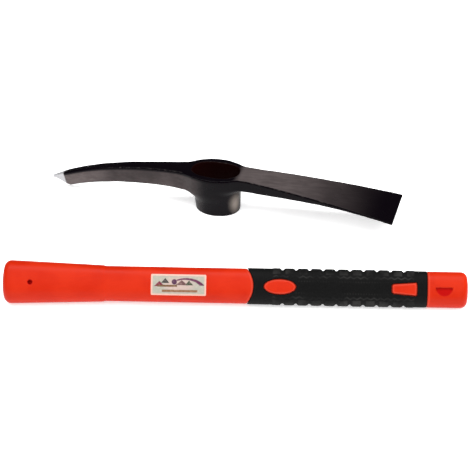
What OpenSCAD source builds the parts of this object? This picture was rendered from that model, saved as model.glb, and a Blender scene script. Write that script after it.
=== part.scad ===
// Small prospecting pick-mattock, knocked down: the forged head stands on the collar of its
// eye, and the handle lies in front of it. Millimetres, +Z up. The origin is the centre of the
// collar's foot. The handle runs along +X from its flared end to its butt.

/* [Eye of the head] */
// Height of the eye, from the collar's foot to the mouth
eye_h = 38; // [30:1:45]
// Play between the handle's flared end and the oval bore that it wedges in
eye_play = 0.1; // [0:0.05:0.5]
// Wall of the collar at its foot, along the head
foot_wall_l = 3.5; // [2:0.5:6]
// Wall of the collar at its foot, across the head
foot_wall_w = 4; // [2:0.5:7]
// Wall on each side of the mouth
cheek_wall = 7; // [4:0.5:10]
// Wall at each end of the mouth
end_wall = 5; // [3:0.5:8]
// Length of the scooped lead-in at the mouth, on the pick side
scoop_l = 7; // [0:0.5:10]

/* [Pick arm] */
// Reach of the pick's point from the eye's axis
pick_reach = 157; // [120:1:200]
// How far the point hangs below the mouth
pick_drop = 27; // [10:1:40]
// Width of the pick arm halfway along
pick_w = 13.5; // [9:0.5:18]
// Depth of the pick arm halfway along
pick_t = 16.8; // [9:0.2:19]
// Length of the ground point
point_l = 17; // [8:1:30]

/* [Adze blade] */
// Reach of the cutting edge from the eye's axis
blade_reach = 160.3; // [120:1:200]
// Width of the cutting edge
edge_w = 52; // [35:1:65]
// Width of the blade's neck, beside the eye
neck_w = 23; // [16:0.5:26]
// Thickness of the neck
neck_t = 12; // [9:0.5:16]
// Thickness of the cutting edge
edge_t = 1.6; // [1:0.1:3]
// How far the cutting edge hangs below the mouth
blade_drop = 15.8; // [8:0.2:30]

/* [Handle] */
// Length of the handle
handle_l = 380; // [300:1:460]
// Narrow side of an oval section as a share of its broad side
oval = 0.76; // [0.65:0.01:0.9]
// Broad side of the flared end that wedges in the eye
flare_w = 36; // [33:0.2:38]
// Broad side at the end of the flared section
flare_end_w = 30.2; // [29:0.2:32]
// Length of the flared section
flare_l = 81; // [60:1:110]
// Broad side of the shaft
shaft_w = 29; // [26:0.2:30]
// Broad side of the grip
grip_w = 29.8; // [27:0.2:31]
// Broad side of the butt
butt_w = 29.6; // [27:0.2:31]
// Length of the butt beyond the grip
butt_l = 33.4; // [24:0.2:45]
// Rounding of the handle's two ends
end_r = 5; // [3:0.5:7]
// Diameter of the glass-fibre rod
rod_d = 14; // [10:0.5:15]
// Plastic left beyond the rod at the butt
rod_stop = 36; // [30:1:60]
// Distance of the moulding-pin mark from the flared end
pin_x = 23.2; // [12:0.2:40]
// Diameter of the moulding-pin mark
pin_d = 3.6; // [2:0.2:5]
// Depth of the moulding-pin mark
pin_t = 3; // [1:0.5:5]

/* [Grip] */
// Distance of the grip's front edge from the flared end, at the middle of the face
grip_x = 205; // [180:1:230]
// How far the grip's front edge runs back at the two sides
grip_arc = 5.6; // [0:0.2:8]
// Thickness of the rubber
rubber_t = 2; // [1.2:0.1:2.6]
// Number of scallops along each side
scallops = 10; // [6:1:10]
// Spacing of the scallops
scallop_pitch = 11; // [9:0.5:11]
// Depth of a scallop
scallop_depth = 1.3; // [0.5:0.1:1.4]
// Distance of the first scallop from the grip's front edge
scallop_x = 23.8; // [18:0.5:30]
// Length of the oval window
window_l = 26.2; // [18:0.2:34]
// Width of the oval window
window_w = 12.4; // [9:0.2:15]
// Distance of the oval window's middle from the grip's front edge
window_x = 21.6; // [19:0.2:30]
// Length of the tapered window
wedge_l = 20.4; // [12:0.2:24]
// Width of the tapered window at its narrow end
wedge_w0 = 7.6; // [5:0.2:10]
// Width of the tapered window at its wide end
wedge_w1 = 11; // [8:0.2:14]
// Gap between the tapered window and the butt
wedge_gap = 8.6; // [5:0.2:14]

/* [Butt recess and label] */
// Length of the half-moon recess
moon_l = 14; // [8:0.2:18]
// Depth of the half-moon recess into the face
moon_t = 1.6; // [0.8:0.1:2]
// Distance of the recess's middle from the butt's end
moon_x = 19.9; // [14:0.1:24]
// Height of its straight edge above the middle of the face
moon_z = 1.8; // [0:0.2:4]
// Length of the label
label_l = 45; // [30:1:60]
// Width of the label
label_w = 17.2; // [12:0.2:20]
// Distance of the label's front edge from the flared end
label_x = 121.6; // [95:1:135]

/* [Layout] */
// Distance of the handle in front of the head
handle_gap = 150.6; // [120:0.2:200]
// Distance of the flared end to the left of the head's eye
handle_left = 173; // [140:1:220]
// Turn of the head about its eye
head_turn = 13.5; // [-20:1:20]
// Lean of the handle's face above level
face_lean = 33; // [0:1:60]

/* [Hidden] */

eps = 0.01;
fit = 0.05;                    // gap between pieces that are moulded or stuck together
ring_n = 44;                   // points round a handle section
squareness = 2.3;              // exponent of the handle's oval, 2 for an ellipse
dual = squareness / (squareness - 1);
slice_t = 0.02;                // thickness of the slices that the head's hulls join
edge_r = 2.2;                  // forged rounding of the arms' long edges
corner_r = 1.6;                // corners of the tapered window
bevel = 0.5;                   // bevel round the rim of a pad
shoulder_l = 4;                // where the flared section eases down to the shaft
rod_inset = 0.6;               // the rod's end lies this far inside the flared end
scallop_w = 1.3;               // half length of a scallop at the surface
label_t = 0.2;                 // thickness of the label
label_steps = 10;              // strips along each way of the label

mouth_bore = flare_at(end_r) + 2 * eye_play;
foot_bore = flare_at(end_r + eye_h) + 2 * eye_play;
mouth_w = mouth_bore * oval + 2 * cheek_wall;
mouth_l = mouth_bore + 2 * end_wall;
foot_l = foot_bore + 2 * foot_wall_l;
foot_w = foot_bore * oval + 2 * foot_wall_w;
pick_root = 22;                // where the pick arm leaves the eye
blade_root = 13;               // where the blade leaves the eye
web_inset = 2.5;               // the webs under the arms land this far inside the collar's cheeks
foot_shift = 1.5;              // the collar's foot lies this far towards the pick
mouth_shift = 3;               // and the mouth's outside this far
butt_x = handle_l - butt_l;    // where the grip ends
wedge_x = butt_x - wedge_gap - wedge_l;

// ---------- head ----------

// Level oval slice of the eye's outside: length l along the head, width w
module oval_slice(l, w, z, x = 0)
    translate([x, 0, z]) scale([l / w, 1, 1]) cylinder(h = slice_t, d = w, $fn = 40);

// Level slice with the handle's own section, broad side w along the head
module bore_slice(w, z, x = 0, stretch = 1)
    translate([x, 0, z]) linear_extrude(height = slice_t)
        polygon([for (p = ring(0, w)) [p[2] * stretch, p[1]]]);

// Ring of points across an arm at x: w wide, from z0 up to z1, with rounded corners
function arm_ring(x, w, z0, z1) =
    let (r = min(edge_r, w / 2 - 0.3, (z1 - z0) / 2 - 0.1))
    [for (corner = [0 : 3], a = [0 : 22.5 : 90]) let (
        side = corner == 0 || corner == 3 ? 1 : -1,
        up = corner < 2 ? 1 : -1,
        turn = 90 * corner + a)
        [x, side * (w / 2 - r) + r * cos(turn), (z0 + z1) / 2 + up * ((z1 - z0) / 2 - r) + r * sin(turn)]];

// Thin upright slice across an arm
module arm_slice(x, w, z0, z1)
    skin([arm_ring(x, w, z0, z1), arm_ring(x + slice_t, w, z0, z1)]);

// Shares from 0 at the eye to 1 where an arm ends, closer together near the eye
function along(steps) = [for (i = [0 : steps]) pow(i / steps, 1.4)];

// Pick arm by the share s of its reach: widest at the eye, its top line hanging by the cube of s
function pick_at(s) = -mix(pick_root, pick_reach, s);
function pick_top(s) = eye_h - 0.3 - pick_drop * (0.3 * s + 0.7 * pow(s, 3));
function pick_width(s) = pick_w * (0.52 + 0.72 * pow(1 - s, 1.2) + 0.75 * pow(1 - s, 8));
function pick_depth(s) = pick_t * (1 + 0.1 * pow(1 - s, 4) - 0.2 * s * s);
point_s = 1 - point_l / (pick_reach - pick_root);
point_z = pick_top(1);

// Pick arm as far as the ground point, then the point
pick_rings = concat(
    [for (t = along(12)) let (s = t * point_s)
        arm_ring(pick_at(s), pick_width(s), pick_top(s) - pick_depth(s), pick_top(s))],
    [arm_ring(point_l / 3 - pick_reach, 3.8, point_z - 4.4, pick_top(mix(1, point_s, 1 / 3))),
     arm_ring(-pick_reach, 1.6, point_z - 2.4, point_z)]);

// Blade by the share s of its reach: a broad root beside the eye, then a slow flare to the edge,
// thinned from below
function blade_at(s) = mix(blade_root, blade_reach, s);
function blade_top(s) = eye_h + 0.4 - blade_drop * (0.4 * s + 0.6 * s * s);
function blade_width(s) = mix(neck_w, edge_w, 0.97 * s + 0.03 * s * s) + 0.35 * neck_w * pow(1 - s, 24);
function blade_depth(s) = edge_t + (neck_t - edge_t) * (1 - pow(sin(90 * s), 1.6));
blade_rings = [for (s = along(12))
    arm_ring(blade_at(s), blade_width(s), blade_top(s) - blade_depth(s), blade_top(s))];

// Eye's outside by the share t of its growth from the collar's foot to the mouth, shrunk by trim
module eye_slice(z, trim = 0) {
    t = pow(min(1, z / (0.92 * eye_h)), 1.15);
    oval_slice(mix(foot_l, mouth_l, t) - trim, mix(foot_w, mouth_w, t) - trim, z,
        -mix(foot_shift, mouth_shift, t));
}

module eye_body() {
    levels = [0, 0.03, 0.25, 0.5, 0.73, 0.92] * eye_h;
    for (i = [0 : len(levels) - 2]) hull() {
        eye_slice(levels[i], i == 0 ? 2 : 0);
        eye_slice(levels[i + 1]);
    }
    hull() {
        eye_slice(levels[5]);
        eye_slice(eye_h - slice_t, 2.4);
    }
    // webs under both arms
    hull() {
        oval_slice(foot_l, foot_w - 2 * web_inset, 0.35 * eye_h, -foot_shift);
        arm_slice(pick_at(0.1), pick_w, eye_h - pick_t - 1, eye_h - pick_t / 3);
    }
    hull() {
        oval_slice(foot_l, foot_w - 2 * web_inset, 0.62 * eye_h, -foot_shift);
        arm_slice(blade_at(0.07), neck_w, eye_h - neck_t, eye_h - neck_t / 6);
    }
}

module eye_bore() {
    hull() {
        bore_slice(foot_bore, -eps);
        bore_slice(mouth_bore, eye_h + 1);
    }
    // scooped lead-in, longer on the pick side
    hull() {
        bore_slice(foot_bore, 0.55 * eye_h);
        bore_slice(mouth_bore, eye_h + 1, -scoop_l / 2, 1 + scoop_l / mouth_bore);
    }
}

module head()
    color([0.07, 0.06, 0.065]) rotate([0, 0, -head_turn]) difference() {
        union() {
            eye_body();
            skin(reversed(pick_rings));
            skin(blade_rings);
        }
        eye_bore();
    }

// ---------- handle ----------
// Handle pieces are drawn with their axis along +X from the flared end, the broad side along Z
// and the labelled face towards -Y. laid_down() then leans that face back and lays them down.

// Point of an oval section at an angle: broad side w, shrunk all round by an inset
function oval_point(w, inset, a) =
    let (c = cos(a), s = sin(a), e = 2 / squareness)
    [sign(c) * pow(abs(c), e) * (w * oval / 2 - inset), sign(s) * pow(abs(s), e) * (w / 2 - inset)];

// Half height of a section of broad side w once its face leans back
function lean_h(w) = pow(pow(w / 2 * cos(face_lean), dual) + pow(w * oval / 2 * sin(face_lean), dual), 1 / dual);

module laid_down() {
    pitch = atan((lean_h(flare_w) - lean_h(butt_w)) / (handle_l - 2 * end_r));
    translate([-handle_left, -handle_gap, lean_h(flare_w)])
        rotate([0, pitch, 0]) rotate([-face_lean, 0, 0]) children();
}

// Skin over rings of points, closed at both ends
module skin(rings) {
    n = len(rings[0]);
    last = len(rings) - 1;
    polyhedron(
        points = [for (ring = rings, p = ring) p],
        faces = concat(
            [[for (i = [0 : n - 1]) i]],
            [for (k = [0 : last - 1], i = [0 : n - 1]) let (j = (i + 1) % n)
                [k * n + i, (k + 1) * n + i, (k + 1) * n + j, k * n + j]],
            [[for (i = [n - 1 : -1 : 0]) last * n + i]]),
        convexity = 4);
}

// Ring of points at x. A bend runs its two broad sides back towards the flared end, by as much at the
// same distance from the middle whatever the section, so that bent faces match
function ring(x, w, inset = 0, bend = 0) =
    [for (i = [0 : ring_n - 1]) let (p = oval_point(w, inset, -360 * i / ring_n))
        [x - bend * pow(p[1] / (grip_w / 2), 2), -p[0], p[1]]];

// Rings that round off an end: from the end's face at x0 to the full section
function end_rings(w, x0, way) =
    [for (a = [0 : 18 : 90]) ring(x0 + way * end_r * (1 - cos(a)), w, end_r * (1 - sin(a)))];

function reversed(list) = [for (i = [len(list) - 1 : -1 : 0]) list[i]];

// Jacket without its pads and holes, stepped down under the grip
module jacket_skin()
    skin(concat(
        end_rings(flare_w, 0, 1),
        [for (s = [0.25 : 0.25 : 1]) let (x = end_r + s * (flare_l - end_r)) ring(x, flare_at(x))],
        [for (s = [0.25 : 0.25 : 1])
            ring(flare_l + shoulder_l * s, mix(flare_end_w, shaft_w, 0.5 - 0.5 * cos(180 * s)))],
        [for (s = [0.25 : 0.25 : 0.75]) ring(mix(flare_l + shoulder_l, grip_x, s), shaft_w)],
        [ring(grip_x - 1.2, shaft_w, 0, grip_arc), ring(grip_x, shaft_w, 0.8, grip_arc),
         ring(grip_x, grip_w, rubber_t + fit, grip_arc)],
        [for (s = [0.1 : 0.2 : 0.9]) ring(mix(grip_x, butt_x, s), grip_w, rubber_t + fit)],
        [ring(butt_x, grip_w, rubber_t + fit), ring(butt_x, butt_w, 0.8), ring(butt_x + 1.2, butt_w)],
        [for (s = [0.3 : 0.3 : 0.9]) ring(mix(butt_x + 1.2, handle_l - end_r, s), butt_w)],
        reversed(end_rings(butt_w, handle_l, -1))));

function mix(a, b, s) = a + (b - a) * s;
function flare_at(x) = mix(flare_w, flare_end_w, x / flare_l);

// Outlines of the two windows, grown by grow, seen on the face: X along the handle
module oval_window(grow)
    translate([grip_x + window_x, 0]) scale([(window_l + 2 * grow) / (window_w + 2 * grow), 1])
        circle(d = window_w + 2 * grow, $fn = 40);

module wedge_window(grow)
    translate([wedge_x, 0]) hull() for (side = [-1, 1]) {
        translate([corner_r - grow, side * (wedge_w0 / 2 - corner_r + grow)]) circle(r = corner_r, $fn = 20);
        translate([wedge_l - corner_r + grow, side * (wedge_w1 / 2 - corner_r + grow)])
            circle(r = corner_r, $fn = 20);
    }

// Block from the handle's axis to past one face, drawn in to the children's outline
module to_face(side, h = grip_w) rotate([90, 0, 0]) mirror([0, 0, side < 0 ? 0 : 1])
    linear_extrude(height = h) children();

// Raised pads that show through the grip's windows on both faces, with bevelled rims
module pads()
    intersection() {
        skin([for (x = [grip_x + 4, butt_x - 4]) ring(x, grip_w, 0.1)]);
        for (side = [-1, 1]) {
            hull() {
                to_face(side, grip_w * oval / 2 - bevel) oval_window(-fit);
                to_face(side) oval_window(-fit - bevel);
            }
            hull() {
                to_face(side, grip_w * oval / 2 - bevel) wedge_window(-fit);
                to_face(side) wedge_window(-fit - bevel);
            }
        }
    }

// Rod's hole, moulding-pin mark and half-moon recess
module jacket_cuts() {
    translate([-1, 0, 0]) rotate([0, 90, 0])
        cylinder(h = handle_l - rod_stop + 1, d = rod_d + 2 * fit, $fn = 48);
    translate([pin_x, pin_t - flare_at(pin_x) * oval / 2, 0]) to_face(-1) circle(d = pin_d, $fn = 24);
    translate([handle_l - moon_x, moon_t - butt_w * oval / 2, moon_z]) to_face(-1)
        intersection() {
            circle(d = moon_l, $fn = 40);
            translate([-moon_l / 2, -moon_l / 2]) square([moon_l, moon_l / 2]);
        }
}

module core_rod()
    color([0.86, 0.82, 0.66]) laid_down() translate([rod_inset, 0, 0]) rotate([0, 90, 0])
        cylinder(h = handle_l - rod_stop - rod_inset - fit, d = rod_d, $fn = 48);

module jacket()
    color([0.85, 0.1, 0.04]) laid_down() difference() {
        union() {
            jacket_skin();
            pads();
        }
        jacket_cuts();
    }

// Scallops across both broad edges of the grip, shallow at the face and full at the edge
module scallops_cut()
    for (i = [0 : scallops - 1], side = [-1, 1])
        translate([grip_x + scallop_x + i * scallop_pitch, 0, side * grip_w / 2]) hull() {
            for (y = [-1, 1]) translate([0, y * grip_w * oval / 2, 0]) rotate([90, 0, 0])
                cylinder(h = slice_t, r = scallop_depth, $fn = 24);
            translate([0, 0, side]) cube([2 * scallop_w, grip_w * oval, slice_t], center = true);
        }

module grip()
    color([0.06, 0.06, 0.06]) laid_down() difference() {
        skin([ring(grip_x + fit, grip_w, 2 * rubber_t, grip_arc), ring(grip_x + fit, grip_w, 0.8, grip_arc),
              ring(grip_x + fit + 1.2, grip_w, 0, grip_arc),
              ring(mix(grip_x, butt_x, 0.5), grip_w),
              ring(butt_x - fit - 1.2, grip_w), ring(butt_x - fit, grip_w, 0.8)]);
        skin([ring(grip_x - grip_arc - 1, grip_w, rubber_t), ring(butt_x + 1, grip_w, rubber_t)]);
        scallops_cut();
        for (side = [-1, 1]) to_face(side) {
            oval_window(0);
            wedge_window(0);
        }
    }

// Point of the label at x and an angle about the face's middle, raised above the jacket
function label_point(x, z, up) =
    let (w = shaft_w, e = 2 / squareness, s = pow(2 * z / w * sign(z), 1 / e))
    [x, -w * oval / 2 * pow(sqrt(1 - s * s), e) - up, z];

module label()
    color([0.9, 0.86, 0.78]) laid_down() skin(
        [for (i = [0 : label_steps]) let (x = label_x + label_l * i / label_steps) concat(
            [for (j = [0 : label_steps]) label_point(x, label_w * (j / label_steps - 0.5), fit)],
            [for (j = [label_steps : -1 : 0]) label_point(x, label_w * (j / label_steps - 0.5), fit + label_t)])]);

head();
core_rod();
jacket();
grip();
label();
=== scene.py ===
"""Small prospecting pick-mattock, knocked down. The forged head stands on the collar of its eye, and the
handle, a glass-fibre rod in a moulded jacket with a rubber grip, lies in front of it.

Sizes are in millimetres and repeat those of the CAD. Head, jacket and grip are surfaces of signed distance
fields, meshed in their own frames and then laid where the CAD has them. The label is a film about 0.2 mm
thick on the shaft, and the rod inside the handle is the CAD's own."""
import math

import bpy
import numpy as np
from mathutils import Matrix, Vector


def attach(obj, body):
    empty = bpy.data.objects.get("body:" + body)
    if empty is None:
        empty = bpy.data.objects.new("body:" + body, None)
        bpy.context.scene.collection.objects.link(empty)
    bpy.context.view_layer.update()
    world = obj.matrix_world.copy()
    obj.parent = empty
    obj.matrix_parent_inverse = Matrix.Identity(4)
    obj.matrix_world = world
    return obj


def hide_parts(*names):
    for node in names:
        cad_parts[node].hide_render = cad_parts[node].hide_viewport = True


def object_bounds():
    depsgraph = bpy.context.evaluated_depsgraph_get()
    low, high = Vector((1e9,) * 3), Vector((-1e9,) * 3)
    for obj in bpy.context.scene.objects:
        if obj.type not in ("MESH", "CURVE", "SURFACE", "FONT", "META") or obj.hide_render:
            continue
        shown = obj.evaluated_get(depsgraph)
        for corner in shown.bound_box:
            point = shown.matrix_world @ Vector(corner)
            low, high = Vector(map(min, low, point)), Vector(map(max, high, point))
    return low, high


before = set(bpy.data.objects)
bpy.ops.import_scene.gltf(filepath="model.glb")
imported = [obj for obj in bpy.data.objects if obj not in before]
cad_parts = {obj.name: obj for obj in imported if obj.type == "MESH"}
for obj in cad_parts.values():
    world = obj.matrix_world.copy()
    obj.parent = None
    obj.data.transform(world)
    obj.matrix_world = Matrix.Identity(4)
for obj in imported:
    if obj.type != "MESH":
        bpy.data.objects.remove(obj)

cad_bounds = [list(corner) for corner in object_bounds()]
MM = 0.001

# ---------- camera ----------
CAM_TARGET = Vector((15, -62.8, 10)) * MM
CAM_DIST = 1527 * MM
CAM_AZIMUTH, CAM_ELEVATION = 1.25, 32
SENSOR, LENS = 36, 135.57


def away(azimuth, elevation):
    """Unit vector from the target towards a place seen at these angles, in degrees."""
    a, e = math.radians(azimuth), math.radians(elevation)
    return Vector((math.sin(a) * math.cos(e), -math.cos(a) * math.cos(e), math.sin(e)))


def aim(obj, place, target):
    obj.location = place
    obj.rotation_mode = "QUATERNION"
    obj.rotation_quaternion = (target - place).to_track_quat("-Z", "Y")
    bpy.context.scene.collection.objects.link(obj)


camera = bpy.data.objects.new("camera", bpy.data.cameras.new("camera"))
camera.data.lens, camera.data.sensor_width = LENS, SENSOR
aim(camera, CAM_TARGET + away(CAM_AZIMUTH, CAM_ELEVATION) * CAM_DIST, CAM_TARGET)
bpy.context.scene.camera = camera

# ---------- sizes of the head ----------
eye_h, eye_play = 38, 0.1
foot_wall_l, foot_wall_w, cheek_wall, end_wall, scoop_l = 3.5, 4, 7, 5, 7
pick_reach, pick_drop, pick_w, pick_t, point_l, pick_root = 157, 27, 13.5, 16.8, 17, 22
blade_reach, edge_w, neck_w, neck_t, edge_t = 160.3, 52, 23, 12, 1.6
blade_drop, blade_root, foot_shift, mouth_shift, head_turn = 15.8, 13, 1.5, 3, 13.5

# ---------- sizes of the handle ----------
handle_l, oval, flare_w, flare_end_w, flare_l = 380, 0.76, 36, 30.2, 81
shaft_w, shoulder_l, grip_w, butt_w, butt_l, end_r = 29, 4, 29.8, 29.6, 33.4, 5
rod_d, rod_stop, pin_x, pin_d, pin_deep = 14, 36, 23.2, 3.6, 3
grip_x, grip_arc, rubber_t = 205, 5.6, 2
scallops, scallop_pitch, scallop_depth, scallop_x, scallop_w = 10, 11, 1.3, 23.8, 1.3
window_l, window_w, window_x = 26.2, 12.4, 21.6
wedge_l, wedge_w0, wedge_w1, wedge_gap, corner_r = 20.4, 7.6, 11, 8.6, 1.6
moon_l, moon_t, moon_x, moon_z = 14, 1.6, 19.9, 1.8
label_l, label_w, label_x, label_t = 45, 17.2, 121.6, 0.2
handle_gap, handle_left, face_lean, squareness, fit = 150.6, 173, 33, 2.3, 0.05
butt_x = handle_l - butt_l
wedge_x = butt_x - wedge_gap - wedge_l


def mix(a, b, s):
    return a + (b - a) * s


def flare_at(x):
    return mix(flare_w, flare_end_w, x / flare_l)


def lean_h(w):
    """Half height of a handle section of broad side w once its face leans back."""
    dual = squareness / (squareness - 1)
    lean = math.radians(face_lean)
    return ((w / 2 * math.cos(lean)) ** dual + (w * oval / 2 * math.sin(lean)) ** dual) ** (1 / dual)


# where each local frame lies in the row frame
pitch = math.atan((lean_h(flare_w) - lean_h(butt_w)) / (handle_l - 2 * end_r))
HANDLE = (Matrix.Translation((-handle_left, -handle_gap, lean_h(flare_w)))
          @ Matrix.Rotation(pitch, 4, "Y") @ Matrix.Rotation(-math.radians(face_lean), 4, "X"))
HEAD = Matrix.Rotation(-math.radians(head_turn), 4, "Z")


# ---------- signed distance fields ----------
def meet(a, b, r):
    """Both of two shapes, with the edge between them rounded by r."""
    return np.minimum(-r, np.maximum(a, b)) + np.hypot(np.maximum(a + r, 0), np.maximum(b + r, 0))


def join(a, b, r):
    """Either of two shapes, with a fillet of radius r between them."""
    return -meet(-a, -b, r)


def cut(a, b, r):
    return meet(a, -b, r)


def oval_field(p, q, half_p, half_q, power=2.0):
    k = np.maximum((np.abs(p / half_p) ** power + np.abs(q / half_q) ** power) ** (1 / power), 1e-3)
    r = np.maximum(np.hypot(p, q), 1e-3)
    return r - r / k


def smooth(a, b, x):
    t = np.clip((x - a) / (b - a), 0, 1)
    return t * t * (3 - 2 * t)


def ripple(x, y, z, size):
    """Slow unevenness between -1 and 1, repeating over a few sizes."""
    x, y, z = x / size, y / size, z / size
    return (np.sin(x + 1.3 * np.sin(0.7 * y + z)) * np.sin(1.1 * y + 0.9 * np.sin(0.8 * x - z))
            + 0.5 * np.sin(2.3 * x - 1.7 * z + 1) * np.cos(2.1 * y + 1.9 * z))


def pick_share(x):
    return np.clip((-x - pick_root) / (pick_reach - pick_root), 0, 1)


def blade_share(x):
    return np.clip((x - blade_root) / (blade_reach - blade_root), 0, 1)


def pick_top(s):
    return eye_h - 0.3 - pick_drop * (0.3 * s + 0.7 * s ** 3)


def head_top(x):
    """Height of the head's upper face along it: the pick hangs, the mouth is level, the blade droops."""
    s = blade_share(x)
    blade = eye_h + 0.4 - blade_drop * (0.4 * s + 0.6 * s * s)
    return np.where(x < 0, mix(pick_top(pick_share(x)), eye_h, smooth(-pick_root - 6, -pick_root + 8, x)),
                    mix(eye_h, blade, smooth(blade_root - 4, blade_root + 14, x)))


POINT_S = 1 - point_l / (pick_reach - pick_root)   # share of the pick where its ground point begins
BORE_FOOT = flare_at(end_r + eye_h) + 2 * eye_play
BORE_MOUTH = flare_at(end_r) + 2 * eye_play
PICK_FILLET, BLADE_FILLET = 9.0, 5.5               # forged fillets between the eye and the arms
SKIN = 0.09                                        # unevenness of the forging


def bore_field(x, y, z):
    w = mix(BORE_FOOT, BORE_MOUTH, z / eye_h)
    plain = oval_field(x, y, w / 2, w * oval / 2, squareness)
    t = np.clip((z / eye_h - 0.55) / 0.45, 0, 1.2)
    scoop = oval_field(x + scoop_l / 2 * t, y, w / 2 + scoop_l / 2 * t, w * oval / 2, squareness)
    return np.minimum(plain, scoop)


def head_field(x, y, z):
    top = head_top(x)
    # oval eye, growing from the collar's foot to the mouth
    t = np.clip(z / eye_h / 0.92, 0, 1) ** 1.15
    half_l = mix(BORE_FOOT + 2 * foot_wall_l, BORE_MOUTH + 2 * end_wall, t) / 2
    half_w = mix(BORE_FOOT * oval + 2 * foot_wall_w, BORE_MOUTH * oval + 2 * cheek_wall, t) / 2
    eye = oval_field(x + mix(foot_shift, mouth_shift, t), y, half_l, half_w)
    eye = meet(eye, -z, 1.3)
    # pick arm and its ground point
    s = pick_share(x)
    u = np.clip((s - POINT_S) / (1 - POINT_S), 0, 1)
    wide = pick_w * (0.52 + 0.72 * (1 - s) ** 1.2 + 0.75 * (1 - s) ** 8)
    wide = mix(wide, 1.6 + 2 * (1 - u), smooth(0, 1, u) * 0.5 + u * 0.5)
    under = pick_top(s) - pick_t * (1 + 0.1 * (1 - s) ** 4 - 0.2 * s * s)
    under = mix(under, pick_top(s) - 2.4, smooth(0, 1, u) * 0.35 + u * 0.65)
    r = mix(2.2, 0.5, u)
    pick = meet(np.abs(y) - wide / 2, under - z, r)
    pick = meet(pick, np.maximum(-x - pick_reach, x), 0.5)
    # adze blade
    s = blade_share(x)
    wide = mix(neck_w, edge_w, 0.97 * s + 0.03 * s * s) + 0.35 * neck_w * (1 - s) ** 24
    thick = edge_t + (neck_t - edge_t) * (1 - np.sin(math.pi / 2 * s) ** 1.6)
    blade = meet(np.abs(y) - wide / 2, top - thick - z, np.minimum(2, thick * 0.4))
    blade = meet(blade, np.maximum(x - blade_reach, -x), 0.6)
    body = join(eye, pick, PICK_FILLET)
    body = join(body, blade, BLADE_FILLET)
    edge = np.minimum(1.5, np.minimum(thick * 0.35, mix(1.5, 0.4, u)))
    body = meet(body, z - top, edge)
    body = cut(body, bore_field(x, y, z), 0.8)
    return body + SKIN * ripple(x, y, z, 6.0)


def past_edge(x, z):
    """How far past the grip's bent front edge a point lies."""
    return x + grip_arc * np.minimum(1, (z / (grip_w / 2)) ** 2) - grip_x


def handle_section(y, z, w, inset=0.0):
    return oval_field(y, z, w * oval / 2 - inset, w / 2 - inset, squareness)


def window_field(x, z):
    """Distance in the face's plane to the nearer of the two windows."""
    eye_like = oval_field(x - grip_x - window_x, z, window_l / 2, window_w / 2)
    u = np.clip((x - wedge_x) / wedge_l, 0, 1)
    along = np.abs(x - wedge_x - wedge_l / 2) - wedge_l / 2
    tapered = meet(np.abs(z) - mix(wedge_w0, wedge_w1, u) / 2, along, corner_r)
    return np.minimum(eye_like, tapered)


GROOVE = 0.32                      # half of the gap round a pad
PROUD = 0.25                       # how far a pad's crown stands above the rubber
SOFT = 0.9                         # rounding of the jacket's edges beside the grip


def jacket_field(x, y, z):
    shaft = mix(flare_end_w, shaft_w, smooth(flare_l, flare_l + shoulder_l, x))
    w = np.where(x < flare_l, flare_at(x), np.where(x < grip_x + 2, shaft, butt_w))
    whole = handle_section(y, z, w)
    bent = past_edge(x, z)
    # gently domed ends with a moulded rounding
    dome = 0.006 * (y * y + z * z)
    front = meet(meet(whole, dome - x, end_r), bent, SOFT)
    butt = meet(meet(whole, x + dome - handle_l, end_r - 0.5), butt_x - x, SOFT)
    under_grip = np.maximum(grip_x - 8 - x, x - butt_x - 4)
    core = np.maximum(handle_section(y, z, grip_w, rubber_t + fit), under_grip)
    # the middle of a face stands a little above the rubber; the pads have soft rims
    pad = meet(handle_section(y, z, grip_w) - PROUD, window_field(x, z) + GROOVE, 1.1)
    pad = np.maximum(pad, 4 - np.abs(y))
    body = np.minimum(np.minimum(front, butt), np.minimum(core, pad))
    rod = np.maximum(np.hypot(y, z) - rod_d / 2 - fit, x - handle_l + rod_stop)
    body = cut(body, rod, 0.3)
    pin = np.maximum(np.hypot(x - pin_x, z) - pin_d / 2, y + flare_at(pin_x) * oval / 2 - pin_deep)
    body = cut(body, pin, 0.35)
    # half-moon recess, deepest along its straight edge
    up = z - moon_z
    shape = meet(np.hypot(x - handle_l + moon_x, up) - moon_l / 2, up, 0.9)
    deep = moon_t * (1 + 0.14 * np.clip(up, -moon_l / 2, 0))
    moon = np.maximum(shape, y + butt_w * oval / 2 - deep)
    return cut(body, moon, 0.45)


RELIEF = 0.3                       # height of the grip's blocks, ribs and dots
BLOCK_Z, RIB_Z, DOT_Z = 10.3, 7.6, 4.7   # how far each row of relief is from the middle of a face
DOT_PITCH = 2.2
GRIP_GAP = 0.25                    # between the grip's ends and the jacket


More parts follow.
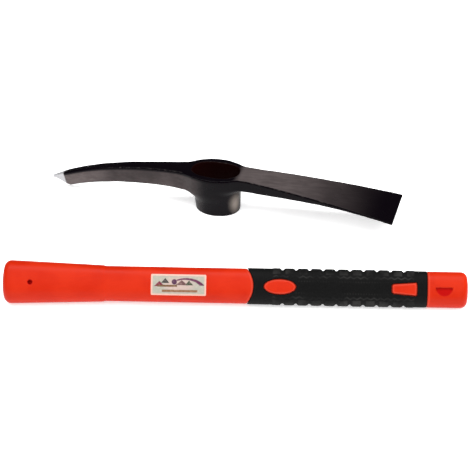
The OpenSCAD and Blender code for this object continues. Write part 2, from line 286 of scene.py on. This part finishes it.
def grip_field(x, y, z):
    bent = past_edge(x, z)
    outer = handle_section(y, z, grip_w)
    # scallops across both broad edges
    i = np.clip(np.round((x - grip_x - scallop_x) / scallop_pitch), 0, scallops - 1)
    along = x - grip_x - scallop_x - i * scallop_pitch
    r = (scallop_w ** 2 + scallop_depth ** 2) / (2 * scallop_depth)
    notch = np.hypot(along, np.abs(z) - grip_w / 2 - r + scallop_depth) - r
    # raised blocks between the scallops, with a waved line of ribs beside them
    first, last = grip_x + scallop_x, grip_x + scallop_x + (scallops - 1) * scallop_pitch
    ranged = smooth(first - 9, first - 7, x) * (1 - smooth(last + 7, last + 9, x))
    clear = smooth(1.6, 2.6, window_field(x, z))
    block = smooth(1.7, 2.4, np.abs(along)) * smooth(BLOCK_Z - 0.4, BLOCK_Z + 0.4, np.abs(z))
    wave = np.abs(((x - first) / (scallop_pitch / 2)) % 1 - 0.5) * 2
    line = np.abs(np.abs(z) - RIB_Z - 1.5 * wave)
    rib = (1 - smooth(0.35, 0.9, line)) * 0.8
    dot_x = (x - first + DOT_PITCH / 2) % DOT_PITCH - DOT_PITCH / 2
    dots = (1 - smooth(0.4, 0.8, np.hypot(dot_x, np.abs(z) - DOT_Z))) * 0.5
    outer = outer - RELIEF * ranged * clear * np.maximum(block, np.maximum(rib, dots))
    outer = cut(outer, notch, 0.4)
    outer = meet(outer, np.maximum(GRIP_GAP - bent, x - butt_x + GRIP_GAP), 0.8)
    inner = handle_section(y, z, grip_w, rubber_t)
    shell = np.maximum(outer, -inner)
    through = np.maximum(window_field(x, z) - GROOVE, 3 - np.abs(y))
    return cut(shell, through, 0.7)


# ---------- meshes ----------
def surface(field, lo, hi, step, relax=2):
    """Points and quads of the closed surface where a field is zero: one point in each grid cell that the
    surface crosses, relaxed along it and put back on it."""
    lo, hi = np.array(lo, float), np.array(hi, float)
    n = np.ceil((hi - lo) / step).astype(int) + 1
    grid = np.meshgrid(*[lo[k] + step * np.arange(n[k]) for k in range(3)], indexing="ij")
    value = field(*grid)
    solid = value < 0
    cell_sum = np.zeros((n.prod(), 3))
    cell_n = np.zeros(n.prod())
    stride = np.array([n[1] * n[2], n[2], 1])
    quads = []
    for d in range(3):
        head = [slice(None)] * 3
        tail = [slice(None)] * 3
        head[d], tail[d] = slice(0, -1), slice(1, None)
        at = np.argwhere(solid[tuple(head)] != solid[tuple(tail)])
        flat = at @ stride
        a, b = value.ravel()[flat], value.ravel()[flat + stride[d]]
        spot = at.astype(float)
        spot[:, d] += a / (a - b)
        u, w = stride[(d + 1) % 3], stride[(d + 2) % 3]
        cells = np.stack([flat, flat - u, flat - u - w, flat - w], 1)
        for k in range(4):
            for c in range(3):
                cell_sum[:, c] += np.bincount(cells[:, k], spot[:, c], minlength=len(cell_n))
            cell_n += np.bincount(cells[:, k], minlength=len(cell_n))
        quads.append(np.where((a < 0)[:, None], cells, cells[:, ::-1]))
    quads = np.concatenate(quads)
    used, quads = np.unique(quads, return_inverse=True)
    quads = quads.reshape(-1, 4)
    points = lo + step * cell_sum[used] / cell_n[used, None]
    pairs = np.concatenate([quads[:, [k, (k + 1) % 4]] for k in range(4)])
    for _ in range(relax):
        near = np.stack([np.bincount(pairs[:, 0], points[pairs[:, 1], c], minlength=len(points))
                         + np.bincount(pairs[:, 1], points[pairs[:, 0], c], minlength=len(points))
                         for c in range(3)], 1)
        count = np.bincount(pairs.ravel(), minlength=len(points))
        points = mix(points, near / count[:, None], 0.6)
        value, slope = graded(field, points)
        points -= slope * (value / np.maximum((slope ** 2).sum(1), 0.2))[:, None].clip(-step / 2, step / 2)
    return points, quads


def graded(field, points, h=0.04):
    value = field(*points.T)
    slope = [(field(*(points + h * axis).T) - field(*(points - h * axis).T)) / (2 * h) for axis in np.eye(3)]
    return value, np.stack(slope, 1)


def piece(name, points, faces, matrix, body, node, slot_name, material, **layers):
    """Makes a smooth-shaded piece that stands for a CAD node. Each layer is a share for each point."""
    world = np.array(matrix)
    placed = (points @ world[:3, :3].T + world[:3, 3]) * MM
    mesh = bpy.data.meshes.new(name)
    corners = faces.shape[1]
    mesh.vertices.add(len(placed))
    mesh.vertices.foreach_set("co", placed.ravel())
    mesh.loops.add(faces.size)
    mesh.loops.foreach_set("vertex_index", faces.ravel())
    mesh.polygons.add(len(faces))
    mesh.polygons.foreach_set("loop_start", np.arange(0, faces.size, corners))
    mesh.polygons.foreach_set("use_smooth", np.ones(len(faces), bool))
    mesh.update(calc_edges=True)
    for layer, values in layers.items():
        if values.ndim == 2:
            made = mesh.attributes.new(layer, "FLOAT_COLOR", "POINT")
            made.data.foreach_set("color", np.column_stack([values, np.ones(len(values))]).ravel())
        else:
            mesh.attributes.new(layer, "FLOAT", "POINT").data.foreach_set("value", values)
    mesh.materials.append(material)
    obj = bpy.data.objects.new(name, mesh)
    bpy.context.scene.collection.objects.link(obj)
    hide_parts(node)
    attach(obj, body)
    return obj


# ---------- materials ----------
class Shader:
    """A material made node by node."""

    def __init__(self, name):
        self.material = bpy.data.materials.new(name)
        self.material.use_nodes = True
        self.tree = self.material.node_tree
        self.tree.nodes.clear()
        self.coords = self.add("TexCoord").outputs["Object"]

    def add(self, kind, _settings=None, **inputs):
        node = self.tree.nodes.new("ShaderNode" + kind)
        for key, value in (_settings or {}).items():
            setattr(node, key, value)
        for key, value in inputs.items():
            key = int(key[1:]) if key[0] == "i" and key[1:].isdigit() else key.replace("_", " ")
            socket = node.inputs[key]
            if isinstance(value, bpy.types.NodeSocket):
                self.tree.links.new(value, socket)
            else:
                socket.default_value = value
        return node

    def layer(self, name):
        return self.add("Attribute", {"attribute_name": name}).outputs["Fac"]

    def noise(self, scale, detail=3.0, rough=0.55, stretch=None):
        at = self.coords
        if stretch:
            at = self.add("Mapping", Vector=at, Scale=stretch).outputs[0]
        return self.add("TexNoise", Vector=at, Scale=scale, Detail=detail, Roughness=rough).outputs[0]

    def ramp(self, value, lo, hi, to_lo=0.0, to_hi=1.0):
        return self.add("MapRange", {"interpolation_type": "SMOOTHSTEP"}, Value=value, From_Min=lo,
                        From_Max=hi, To_Min=to_lo, To_Max=to_hi).outputs[0]

    def times(self, a, b, how="MULTIPLY"):
        return self.add("Math", {"operation": how}, i0=a, i1=b).outputs[0]

    def towards(self, share, a, b):
        return self.add("Mix", {"data_type": "FLOAT"}, i0=share, i2=a, i3=b).outputs[0]

    def blend(self, share, a, b):
        node = self.tree.nodes.new("ShaderNodeMix")
        node.data_type = "RGBA"
        for key, value in ((0, share), (6, a), (7, b)):
            if isinstance(value, bpy.types.NodeSocket):
                self.tree.links.new(value, node.inputs[key])
            else:
                node.inputs[key].default_value = value if key == 0 else (*value, 1)
        return node.outputs[2]

    def bump(self, height, strength, distance, under=None):
        inputs = {"Height": height, "Strength": strength, "Distance": distance}
        if under is not None:
            inputs["Normal"] = under
        return self.add("Bump", **inputs).outputs[0]

    def finish(self, **inputs):
        made = self.add("BsdfPrincipled", **inputs)
        out = self.add("OutputMaterial")
        self.tree.links.new(made.outputs[0], out.inputs[0])
        return self.material


def enamel():
    """Black enamel over a forging, with a painted grey sheen on the pick's sides and the blade's upper face,
    a painted highlight on the collar, and bare steel at the point.
    """
    s = Shader("forged_enamel")
    grain = s.noise(260, 5, 0.6)
    brushed = s.noise(420, 4, 0.6, (0.12, 1, 1))
    blotch = s.noise(55, 3, 0.5)
    # painted sheen: grey where the pick's sides and the blade's upper face would catch light, broken up by
    # the brushed grain
    thin = s.times(s.layer("thin"), s.ramp(s.times(brushed, blotch, "ADD"), 0.7, 1.3, 0.75, 1.15))
    colour = s.blend(thin, (0.0014, 0.0008, 0.0016), (0.084, 0.069, 0.068))
    colour = s.blend(s.layer("inside"), colour, (0.004, 0.0002, 0.0001))
    worn = s.times(s.layer("edge"), s.ramp(grain, 0.48, 0.66))
    colour = s.blend(worn, colour, (0.05, 0.043, 0.04))
    # painted highlight: a soft light grey-brown patch on the collar's right side
    colour = s.blend(s.layer("rubbed"), colour, (0.17, 0.145, 0.127))
    colour = s.blend(s.layer("bare"), colour, (0.33, 0.33, 0.34))
    rough = s.ramp(blotch, 0.3, 0.7, 0.2, 0.3)
    for layer, value in (("thin", 0.5), ("bare", 0.38), ("inside", 0.65)):
        rough = s.towards(s.layer(layer), rough, value)
    ground = s.noise(900, 3, 0.6, (0.15, 1, 1))
    normal = s.bump(grain, 0.35, 0.00022)
    normal = s.bump(brushed, 0.3, 0.00012, normal)
    normal = s.bump(s.times(ground, s.layer("bare")), 0.5, 0.0001, normal)
    return s.finish(Base_Color=colour, Metallic=s.times(s.layer("bare"), 0.4), Roughness=rough,
                    Specular_IOR_Level=0.06, Normal=normal)


def plastic():
    """Glossy red-orange mouldings with a fine sparked texture and slow shrinkage waves."""
    s = Shader("red_moulding")
    cloud = s.noise(38, 3, 0.5)
    fine = s.noise(2600, 2, 0.6)
    flow = s.noise(90, 3, 0.5, (0.2, 1, 1))
    colour = s.blend(s.ramp(cloud, 0.35, 0.65), (0.33, 0.0105, 0.001), (0.36, 0.014, 0.002))
    # painted highlight: lighter red along the rounded rims by the pads, the grip's front edge and the butt
    colour = s.blend(s.times(s.layer("rim"), 0.6), colour, (0.39, 0.034, 0.017))
    # painted shade: darker red in and round the pin hole and in the half-moon recess
    colour = s.blend(s.layer("deep"), colour, (0.26, 0.001, 0.0006))
    rough = s.ramp(s.times(fine, cloud, "ADD"), 0.8, 1.2, 0.36, 0.46)
    rough = s.towards(s.layer("deep"), rough, 0.9)
    normal = s.bump(fine, 0.12, 0.00003)
    normal = s.bump(flow, 0.25, 0.00025, normal)
    return s.finish(Base_Color=colour, Roughness=rough, Specular_IOR_Level=0.09, Normal=normal)


def rubber():
    """Matt black rubber, finely speckled, a little greyer where hands rub the raised ribs."""
    s = Shader("grip_rubber")
    speck = s.noise(1500, 3, 0.7)
    cloud = s.noise(70, 3, 0.5)
    colour = s.blend(s.ramp(speck, 0.5, 0.75), (0.003, 0.003, 0.003), (0.007, 0.007, 0.007))
    colour = s.blend(s.times(s.layer("worn"), s.ramp(cloud, 0.35, 0.7)), colour, (0.017, 0.0165, 0.016))
    rough = s.ramp(speck, 0.3, 0.7, 0.52, 0.7)
    normal = s.bump(speck, 0.5, 0.00009)
    return s.finish(Base_Color=colour, Roughness=rough, Specular_IOR_Level=0.06, Normal=normal)


def glass_fibre():
    """Pultruded rod: cream resin full of lengthwise fibres, cut square at the ends."""
    s = Shader("glass_fibre")
    strands = s.noise(1800, 3, 0.7, (0.03, 1, 1))
    ends = s.add("TexVoronoi", Vector=s.coords, Scale=2600).outputs[0]
    colour = s.blend(s.ramp(strands, 0.35, 0.65), (0.52, 0.45, 0.27), (0.78, 0.72, 0.52))
    colour = s.blend(s.ramp(ends, 0.1, 0.6, 0.0, 0.5), colour, (0.36, 0.3, 0.17))
    normal = s.bump(strands, 0.4, 0.0001)
    return s.finish(Base_Color=colour, Roughness=0.5, Specular_IOR_Level=0.4, Normal=normal)


def sticker():
    """Printed film under a clear gloss laminate, with a fine printing screen."""
    s = Shader("label_print")
    ink = s.add("Attribute", {"attribute_name": "ink"}).outputs["Color"]
    screen = s.noise(3200, 1, 0.5)
    soft = s.noise(500, 2, 0.5)
    tinted = s.blend(s.ramp(screen, 0.4, 0.7, 0.0, 0.07), ink, (0.5, 0.46, 0.4))
    tinted = s.blend(s.ramp(soft, 0.45, 0.75, 0.0, 0.08), tinted, (0.85, 0.6, 0.52))
    normal = s.bump(soft, 0.15, 0.00005)
    return s.finish(Base_Color=tinted, Roughness=0.42, Specular_IOR_Level=0.2, Normal=normal)


def table_top():
    s = Shader("pale_sweep")
    cloud = s.noise(6, 2, 0.5)
    colour = s.blend(s.ramp(cloud, 0.3, 0.7), (0.90, 0.90, 0.90), (0.93, 0.93, 0.93))
    return s.finish(Base_Color=colour, Roughness=0.9, Specular_IOR_Level=0.1,
                    Emission_Color=(1, 1, 1, 1), Emission_Strength=0.5)


# ---------- head ----------
HEAD_STEP, JACKET_STEP, GRIP_STEP = 0.7, 0.65, 0.5
COARSER = 1.0
points, quads = surface(head_field, (-158.5, -27.5, -1.2), (162, 27.5, 40), HEAD_STEP * COARSER)
normal = graded(head_field, points, 0.3)[1]
normal /= np.maximum(np.linalg.norm(normal, axis=1, keepdims=True), 1e-6)
x, y, z = points.T
below = head_top(x) - z
bare = smooth(-0.4, 0.4, -x - (pick_reach - 10.5) + 0.27 * np.clip(below, 0, 14))
inside = smooth(1.2, 0.2, bore_field(x, y, z)) * smooth(0.2, 1.5, eye_h - z + 1)
# painted sheen: the pick's side faces, with a brighter patch part way along, and the blade's upper face near
# the eye
pick_side = (smooth(0.55, 0.9, np.abs(normal[:, 1])) * smooth(-8, -24, x) * smooth(2.0, 3.4, below)
             * mix(0.42, 1, smooth(-95, -128, x) + 0.25 * smooth(14, 0, np.abs(x + 46))))
blade_face = 0.66 * smooth(0.75, 0.95, normal[:, 2]) * smooth(15, 22, x) * (1 - smooth(40, 150, x))
sharpness = graded(head_field, points, 1.2)[1]
edge = smooth(0.93, 0.8, np.linalg.norm(sharpness, axis=1)) * smooth(110, 95, np.abs(x)) * (1 - inside)
# painted highlight on the right of the collar, round its middle height
around = np.degrees(np.arctan2(normal[:, 0], -normal[:, 1]))
rubbed = smooth(1.1, 0.0, np.hypot((around - 60) / 27, (z - 11.5) / 13)) * (x > 0) * (x < 28)
piece("mattock_head", points, quads, HEAD, "head", "head", "head_enamel", enamel(), bare=bare,
      inside=inside, thin=np.clip(pick_side + blade_face, 0, 1), edge=edge, rubbed=rubbed)

# ---------- handle ----------
red = plastic()
points, quads = surface(jacket_field, (-1.2, -15.4, -19.2), (handle_l + 1.2, 15.4, 19.2),
                        JACKET_STEP * COARSER)
x, y, z = points.T
# painted shade in and round the pin hole and in the half-moon recess
pin_painted_shade = smooth(pin_d / 2 + 1.0, pin_d / 2 - 0.1, np.hypot(x - pin_x, z)) * (y < 0)
moon_up = z - moon_z
edge_at = past_edge(x, z)
# painted highlight along the rounded rims round the pads, at the grip's front edge and at the butt
pad_rim = smooth(1.5, 0.7, np.abs(window_field(x, z) + GROOVE + 0.3)) * (x > grip_x + 2) * (x < butt_x - 2)
front_rim = smooth(1.6, 0.8, np.abs(edge_at + 0.6))
butt_rim = smooth(1.5, 0.7, np.abs(x - butt_x - 0.6))
rim = np.clip(pad_rim + front_rim + butt_rim, 0, 1)
in_moon = np.maximum(np.hypot(x - handle_l + moon_x, moon_up) - moon_l / 2, moon_up)
moon_painted_shade = smooth(0.4, -0.5, in_moon) * (y < 0)
piece("handle_jacket", points, quads, HANDLE, "handle", "jacket", "red_plastic", red,
      deep=np.clip(pin_painted_shade + moon_painted_shade, 0, 1), rim=rim)

points, quads = surface(grip_field, (grip_x - 7.5, -13, -16.2), (butt_x + 1, 13, 16.2), GRIP_STEP * COARSER)
x, y, z = points.T
raised = smooth(0.02, 0.25, handle_section(y, z, grip_w))
piece("rubber_grip", points, quads, HANDLE, "handle", "grip", "black_rubber", rubber(), worn=raised)

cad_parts["core_rod"].data.materials.clear()
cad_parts["core_rod"].data.materials.append(glass_fibre())


# ---------- label ----------
def label_ink(u, v):
    """Colours of a made-up print: u runs along the label and v up it, both in millimetres from its middle."""
    half_u, half_v = label_l / 2, label_w / 2
    ink = np.tile(np.array([0.46, 0.27, 0.22]), (len(u), 1))

    def lay(shape, colour, soft=0.22):
        share = smooth(soft, -soft, shape)[:, None]
        ink[:] = mix(ink, np.array(colour), share)

    field_shape = meet(np.abs(u) - half_u + 1.3, np.abs(v) - half_v + 1.2, 0.8)
    lay(field_shape, (0.235, 0.23, 0.19), 0.5)
    lay(np.hypot(u / 1.9, v) - 6.0, (0.31, 0.235, 0.205), 2.2)
    # two hills on a baseline, a sun, and a long arc over them
    lay(np.maximum(v - 5.4 + np.abs(u + 10.8) * 1.2, 1.4 - v), (0.006, 0.009, 0.01))
    lay(np.maximum(v - 3.0 + np.abs(u + 15.6) * 1.0, -1.4 - v), (0.10, 0.004, 0.02))
    lay(np.maximum(np.abs(u + 9.2) - 8, np.abs(v + 0.9) - 0.8), (0.08, 0.035, 0.01))
    lay(np.hypot(u + 3.4, v - 2.4) - 2.2, (0.035, 0.004, 0.03))
    lay(np.abs(np.hypot((u - 6) / 1.55, v + 4.5) - 9.4) - 0.75 - 0.03 * (u - 6)
        + 9 * (v < -0.4) + 9 * (u < -1.5), (0.06, 0.006, 0.035))
    lay(np.maximum(v - 3.9 + np.abs(u - 2.6) * 0.8, -0.2 - v), (0.07, 0.03, 0.03))
    lay(np.maximum(v - 3.6 + np.abs(u - 8.6) * 1.1, -0.2 - v), (0.02, 0.03, 0.015))
    # plain rule along the foot
    lay(np.maximum(np.abs(u - 1) - 14.5, np.abs(v + 5.0) - 0.95), (0.13, 0.06, 0.025), 0.35)
    return ink


def label_mesh(step=0.22, thick=label_t, corner=1.0):
    """Thin film with round corners that follows the shaft's face."""
    nu, nv = round(label_l / step), round(label_w / step)
    u, v = np.meshgrid(np.linspace(-1, 1, nu + 1), np.linspace(-1, 1, nv + 1), indexing="ij")
    u = u * label_l / 2
    into = np.clip(np.abs(u) - label_l / 2 + corner, 0, corner)
    v = v * (label_w / 2 - corner + np.sqrt(corner ** 2 - into ** 2))
    out, power = [], squareness
    for up in (fit + thick, fit * 0.5):
        c = (1 - np.abs(2 * v / shaft_w) ** power) ** (1 / power)
        # the rim turns down a little where the film was pressed on
        rim = np.minimum(label_l / 2 - np.abs(u), label_w / 2 - np.abs(v))
        fall = 0.1 * (1 - smooth(0, 0.5, rim)) if up > thick else 0
        y = -shaft_w * oval / 2 * c - up + fall
        out.append(np.stack([u + label_x + label_l / 2, y, v], -1).reshape(-1, 3))
    i = np.arange((nu + 1) * (nv + 1)).reshape(nu + 1, nv + 1)
    top = np.stack([i[:-1, :-1], i[1:, :-1], i[1:, 1:], i[:-1, 1:]], -1).reshape(-1, 4)
    ring = np.concatenate([i[:-1, 0], i[-1, :-1], i[:0:-1, -1], i[0, :0:-1]])
    after = np.roll(ring, -1)
    wall = np.stack([ring + i.size, after + i.size, after, ring], -1)
    faces = np.concatenate([top, top[:, ::-1] + i.size, wall])
    return np.concatenate(out), faces, np.tile(u.ravel(), 2), np.tile(v.ravel(), 2)


points, quads, u, v = label_mesh()
piece("maker_label", points, quads, HANDLE, "handle", "label", "label_film", sticker(),
      ink=label_ink(u, v))

# ---------- floor and light ----------
FLOOR_HALF, FLOOR_GAP = 3.0, 0.0001
floor_mesh = bpy.data.meshes.new("floor")
floor_z = cad_bounds[0][2] - FLOOR_GAP
floor_mesh.from_pydata([(sx * FLOOR_HALF, sy * FLOOR_HALF, floor_z) for sx, sy in
                        ((-1, -1), (1, -1), (1, 1), (-1, 1))], [], [(0, 1, 2, 3)])
floor_mesh.materials.append(table_top())
floor = bpy.data.objects.new("floor", floor_mesh)
bpy.context.scene.collection.objects.link(floor)


def softbox(name, place, target, size, power, shines=True):
    light = bpy.data.lights.new(name, "AREA")
    light.shape = "RECTANGLE"
    light.size, light.size_y = size
    light.energy = power
    obj = bpy.data.objects.new(name, light)
    aim(obj, Vector(place), Vector(target))
    obj.visible_camera = False
    obj.visible_glossy = shines


softbox("overhead", (0.0, -0.85, 1.5), (0.0, -0.1, 0.0), (2.8, 1.7), 50, shines=False)
softbox("front_fill", (-0.3, -2.0, 0.8), (0.0, -0.1, 0.02), (2.6, 1.2), 20, shines=False)
softbox("top_strip", (0.0, -0.02, 1.4), (0.0, -0.15, 0.0), (2.4, 0.4), 24)
softbox("right_strip", (0.85, 0.0, 0.14), (0.0, -0.05, 0.02), (0.35, 0.24), 5, shines=False)

world = bpy.data.worlds.new("world")
world.use_nodes = True
world.node_tree.nodes["Background"].inputs[0].default_value = (1.0, 0.95, 0.97, 1)
world.node_tree.nodes["Background"].inputs[1].default_value = 0.06
bpy.context.scene.world = world
bpy.context.scene.view_settings.view_transform = "Standard"

bpy.context.view_layer.update()
